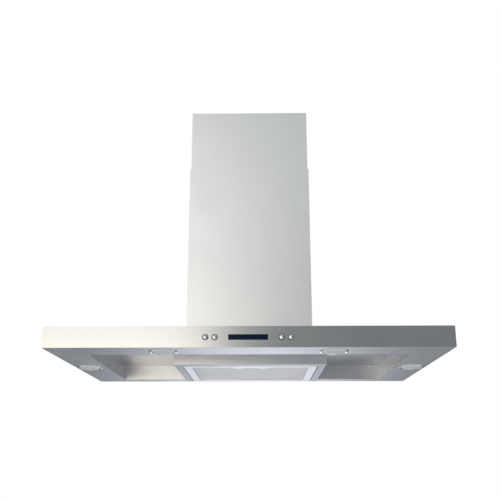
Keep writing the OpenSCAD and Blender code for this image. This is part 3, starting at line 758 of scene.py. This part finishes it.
class HOOD_OT_controls(bpy.types.Operator):
    """Finishes the buttons, the display and what is behind them"""

    bl_idname = "hood.controls"
    bl_label = "Controls"

    def execute(self, context):
        finish = context.scene.hood_finish
        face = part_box("button_light")[0].y
        # Painted shade: the outer half of each dome's rise, next to its base, is painted dark
        rim = (face + 0.5 * DOME_RISE, face + DOME_RISE)
        crown, painted_rim_shade = linear(finish.chrome), linear(finish.black_plastic)
        chrome = satin_chrome_cap("button_satin_chrome_painted_rim_shade", crown, painted_rim_shade, *rim)
        for name in ("button_light", "button_slower", "button_faster", "button_power"):
            finish_node(name, chrome)
        finish_node("display_window", tinted_glass("display_tinted_glass", linear(finish.display)))
        soften_edges("display_window", 0.25 * MM, 2)
        black = moulded_plastic("control_black_abs", linear(finish.black_plastic))
        for name in ("control_housing", "display_module", "button_guide_plate", "tact_switches"):
            finish_node(name, black)
        finish_node("control_board", board_laminate("control_board_laminate"))
        return {"FINISHED"}


class HOOD_OT_lamps(bpy.types.Operator):
    """Finishes the lamps and presses their fluted lenses"""

    bl_idname = "hood.lamps"
    bl_label = "Lamps"

    def execute(self, context):
        finish = context.scene.hood_finish
        glass = pressed_glass("lamp_pressed_glass", linear(finish.lens))
        chrome = polished_chrome("lamp_chrome", linear(finish.chrome))
        for name in ("lamp_bezels", "lamp_reflectors"):
            finish_node(name, chrome)
        finish_node("lamp_bulbs", glass)
        finish_node("lamp_cans", galvanised_sheet("lamp_galvanised", linear(finish.zinc)))
        finish_node("lamp_clips", zinc_plate("lamp_clip_zinc", linear(finish.zinc)))
        black = moulded_plastic("transformer_black_abs", linear(finish.black_plastic))
        finish_node("lamp_transformer", black)
        lenses = islands(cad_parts["lamp_lenses"])
        if len(lenses) != LAMP_SPOTS:
            raise RuntimeError(f"expected {LAMP_SPOTS} lenses and found {len(lenses)}")
        for number, (middle, low, high) in enumerate(lenses):
            radius = (high.x - low.x) / 2
            vertices, faces = fluted_lens(middle, radius, low.z, high.z - RIM_INSET)
            name = f"lamp_lens_{number + 1}"
            lens = new_piece(name, vertices, faces, glass, "hood", smooth=True)
            wall = lens.modifiers.new("glass_wall", "SOLIDIFY")
            wall.thickness = GLASS_WALL
            wall.offset = -1.0
            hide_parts("lamp_lenses")
        return {"FINISHED"}


class HOOD_OT_filter(bpy.types.Operator):
    """Finishes the grease filter and weaves its expanded mesh"""

    bl_idname = "hood.filter"
    bl_label = "Grease filter"

    def execute(self, context):
        finish = context.scene.hood_finish
        layers = context.scene.hood_detail.mesh_layers
        aluminium = drawn_aluminium("filter_aluminium", linear(finish.aluminium))
        for name in ("filter_frame", "latch_housing"):
            finish_node(name, aluminium)
            soften_edges(name, 0.5 * MM, 2)
        finish_node("filter_hinge_pins", polished_chrome("filter_pin_chrome", linear(finish.chrome)))
        finish_node("filter_latch", moulded_plastic("latch_black_abs", linear(finish.black_plastic)))
        finish_node("filter_hinge_brackets", zinc_plate("hinge_bracket_zinc", linear(finish.zinc)))
        finish_node("filter_mesh", knitted_aluminium("filter_core_aluminium", linear("#fafafb")))
        low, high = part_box("filter_mesh")
        latch_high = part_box("latch_housing")[1]
        notch = (latch_high.x + NOTCH_GAP, latch_high.y + NOTCH_GAP)
        vertices, faces = [], []
        for layer in range(layers):
            level = low.z - LAYER_STEP * (layer + 1)
            made, sides = expanded_layer(low, high, level, STRAND_THICKNESS, layer, notch)
            start = len(vertices)
            vertices += made
            faces += [tuple(start + i for i in side) for side in sides]
        new_piece("filter_expanded_mesh", vertices, faces, aluminium, "filter")
        return {"FINISHED"}


class HOOD_OT_blower(bpy.types.Operator):
    """Finishes the blower, its motor, the outlet collar and the damper"""

    bl_idname = "hood.blower"
    bl_label = "Blower"

    def execute(self, context):
        finish = context.scene.hood_finish
        finish_node("blower_box", galvanised_sheet("blower_galvanised", linear(finish.zinc)))
        black = moulded_plastic("blower_black_abs", linear(finish.black_plastic))
        for name in ("scroll_housing", "outlet_collar"):
            finish_node(name, black)
        grey = moulded_plastic("blower_grey_abs", linear(finish.grey_plastic))
        for name in ("fan_wheel", "inlet_ring", "damper_flap_front", "damper_flap_rear"):
            finish_node(name, grey)
        zinc = zinc_plate("blower_zinc", linear(finish.zinc))
        for name in ("motor_bracket", "motor_screws", "blower_box_screws", "capacitor_clip"):
            finish_node(name, zinc)
        finish_node("fan_motor", painted_iron("motor_enamel", linear("#3a3c3e")))
        finish_node("motor_grommets", moulded_rubber("grommet_rubber", linear("#141414")))
        finish_node("run_capacitor", drawn_aluminium("capacitor_aluminium", linear(finish.aluminium)))
        chrome = polished_chrome("shaft_ground_steel", linear(finish.chrome))
        for name in ("motor_shaft", "damper_pin"):
            finish_node(name, chrome)
        return {"FINISHED"}


class HOOD_OT_hanging_frame(bpy.types.Operator):
    """Finishes the ceiling plate, the posts and what clamps them"""

    bl_idname = "hood.hanging_frame"
    bl_label = "Hanging frame"

    def execute(self, context):
        finish = context.scene.hood_finish
        zinc = zinc_plate("frame_zinc", linear(finish.zinc))
        for name in ("ceiling_plate", "upper_posts", "lower_posts", "upper_post_bolts", "frame_screws"):
            finish_node(name, zinc)
        chrome = polished_chrome("clamp_bolt_chrome", linear(finish.chrome))
        for name in ("post_clamp_bolts", "post_clamp_nuts"):
            finish_node(name, chrome)
        return {"FINISHED"}


class HOOD_OT_electrics(bpy.types.Operator):
    """Finishes the junction box, the gland, the terminal block and the leads"""

    bl_idname = "hood.electrics"
    bl_label = "Electrics"

    def execute(self, context):
        finish = context.scene.hood_finish
        box = galvanised_sheet("junction_galvanised", linear(finish.zinc))
        for name in ("junction_box", "junction_box_lid"):
            finish_node(name, box)
        finish_node("cable_gland", moulded_plastic("gland_black_nylon", linear(finish.black_plastic), 0.4))
        finish_node("terminal_block", moulded_plastic("terminal_white_nylon", linear("#d8d6cc"), 0.45))
        finish_node("wiring_harness", lead_insulation("harness_pvc"))
        return {"FINISHED"}


class HOOD_OT_stage(bpy.types.Operator):
    """Sets up the camera, the pale floor and the soft studio light"""

    bl_idname = "hood.stage"
    bl_label = "Stage"

    def execute(self, context):
        place_camera(context)
        lay_floor(context)
        light_studio(context)
        light_recess(context)
        context.scene.view_settings.view_transform = "Standard"
        return {"FINISHED"}


def place_camera(context):
    stage = context.scene.hood_stage
    camera_data = bpy.data.cameras.new("camera")
    camera_data.lens = stage.lens_mm
    camera_data.shift_y = stage.rise
    camera = bpy.data.objects.new("camera", camera_data)
    context.scene.collection.objects.link(camera)
    camera.location = (stage.camera_aside, -stage.camera_away, UNDERSIDE - stage.camera_below)
    level = math.cos(stage.camera_pitch)
    across, ahead = -math.sin(stage.camera_yaw) * level, math.cos(stage.camera_yaw) * level
    look = Vector((across, ahead, math.sin(stage.camera_pitch)))
    camera.rotation_euler = look.to_track_quat("-Z", "Y").to_euler()
    context.scene.camera = camera


def lay_floor(context):
    stage = context.scene.hood_stage
    radius, level = stage.floor_radius, UNDERSIDE - stage.floor_below
    data = bpy.data.meshes.new("floor")
    turns = [2 * math.pi * i / FLOOR_SIDES for i in range(FLOOR_SIDES)]
    ring = [(radius * math.cos(turn), radius * math.sin(turn), level) for turn in turns]
    data.from_pydata(ring, [], [tuple(range(FLOOR_SIDES))])
    material, tree, shader = new_material("pale_floor", {"Roughness": 0.85})
    mottle = noise(tree, object_point(tree), 0.4)
    vary_colour(tree, shader, mottle, linear("#e9e9e8"), linear("#efefee"))
    data.materials.append(material)
    floor = bpy.data.objects.new("floor", data)
    context.scene.collection.objects.link(floor)
    wash_floor(context, level)


def area_light(context, name, width, depth, glow):
    """A soft rectangular light, as bright as its glow, unseen by the camera. It faces down at first."""
    light_data = bpy.data.lights.new(name, "AREA")
    light_data.shape = "RECTANGLE"
    light_data.size = width
    light_data.size_y = depth
    light_data.energy = glow * math.pi * width * depth
    light = bpy.data.objects.new(name, light_data)
    light.visible_camera = False
    context.scene.collection.objects.link(light)
    return light


def wash_floor(context, level):
    """A wide light just over the floor, facing down: the floor is pale and little of it reaches the hood."""
    light = area_light(context, "floor_wash", WASH_SIDE, WASH_SIDE, WASH_GLOW)
    light.location = (0, 0, level + WASH_HEIGHT)


def light_recess(context):
    """A warm soft panel low at the front left, for the left of the smoke recess and the filter box."""
    light = area_light(context, "recess_panel", *RECESS_PANEL_SIZE, RECESS_PANEL_GLOW)
    light.data.color = linear("#fff3dc")[:3]
    light.location = RECESS_PANEL_PLACE
    aim = Vector(RECESS_PANEL_AIM) - light.location
    light.rotation_euler = aim.to_track_quat("-Z", "Y").to_euler()


def light_studio(context):
    """Grey all round, a wide bank at the front left, soft light above and a low glow behind.

    The camera sees plain white instead.
    """
    world = bpy.data.worlds.new("studio")
    context.scene.world = world
    world.use_nodes = True
    tree = world.node_tree
    tree.nodes.clear()
    # x, y and z run from -1 to 1 with the direction: to the right, to the back and up
    direction = add(tree, "SeparateXYZ", links={"Vector": add(tree, "TexCoord").outputs["Generated"]})
    x, y, z = (direction.outputs[axis] for axis in "XYZ")
    front = smooth_step(tree, y, 0.25, -0.35)
    back = smooth_step(tree, y, -0.2, 0.4)
    left = smooth_step(tree, x, 0.025, -0.125)
    near_middle = between(tree, x, *BANK_GLOW, -0.56, -0.36)
    over_horizon = between(tree, z, 0.3, 1.0, -0.15, -0.02)
    bank = times(tree, front, left, smooth_step(tree, z, 0.65, 0.15), near_middle, over_horizon)
    high = times(tree, smooth_step(tree, z, 0.15, 0.4), smooth_step(tree, z, 0.8, 0.5))
    overhead = times(tree, smooth_step(tree, z, 0.7, 0.9), OVERHEAD_GLOW)
    upper = plus(tree, times(tree, front, high, UPPER_GLOW), overhead)
    middle = times(tree, smooth_step(tree, x, -0.26, 0.0), smooth_step(tree, x, 0.23, 0.0))
    glow = times(tree, back, middle, smooth_step(tree, z, -0.02, -0.2), REAR_GLOW)
    ambient = add(tree, "Background", {"Color": linear("#8d9296")})
    ambient.inputs["Strength"].default_value = ALL_ROUND
    total = ambient.outputs[0]
    for colour, strength in (("#fffdf8", bank), ("#f4f7fa", upper), ("#eef1fa", glow)):
        part = add(tree, "Background", {"Color": linear(colour)}, {"Strength": strength})
        total = add(tree, "AddShader", links={0: total, 1: part.outputs[0]}).outputs[0]
    seen = add(tree, "Background", {"Color": WHITE})
    is_camera = add(tree, "LightPath").outputs["Is Camera Ray"]
    sky = add(tree, "MixShader", links={0: is_camera, 1: total, 2: seen.outputs[0]})
    add(tree, "OutputWorld", links={"Surface": sky.outputs[0]})


class HOOD_PT_panel(bpy.types.Panel):
    """Lists the steps that finish the hood"""

    bl_idname = "HOOD_PT_panel"
    bl_label = "Range Hood"
    bl_space_type = "VIEW_3D"
    bl_region_type = "UI"
    bl_category = "Range Hood"

    def draw(self, context):
        for step in STEPS:
            self.layout.operator(step.bl_idname)
        for group in (context.scene.hood_finish, context.scene.hood_detail, context.scene.hood_stage):
            for name in group.__annotations__:
                self.layout.prop(group, name)


STEPS = (
    HOOD_OT_stage,
    HOOD_OT_chimney,
    HOOD_OT_canopy,
    HOOD_OT_controls,
    HOOD_OT_lamps,
    HOOD_OT_filter,
    HOOD_OT_blower,
    HOOD_OT_hanging_frame,
    HOOD_OT_electrics,
)
GROUPS = {"hood_finish": HoodFinish, "hood_detail": HoodDetail, "hood_stage": HoodStage}


def register():
    for kind in (*GROUPS.values(), *STEPS, HOOD_PT_panel):
        bpy.utils.register_class(kind)
    for name, group in GROUPS.items():
        setattr(bpy.types.Scene, name, bpy.props.PointerProperty(type=group))


def unregister():
    for name in GROUPS:
        delattr(bpy.types.Scene, name)
    for kind in reversed((*GROUPS.values(), *STEPS, HOOD_PT_panel)):
        bpy.utils.unregister_class(kind)


def main():
    register()
    for step in STEPS:
        group, name = step.bl_idname.split(".")
        getattr(getattr(bpy.ops, group), name)()


if __name__ == "__main__":
    main()
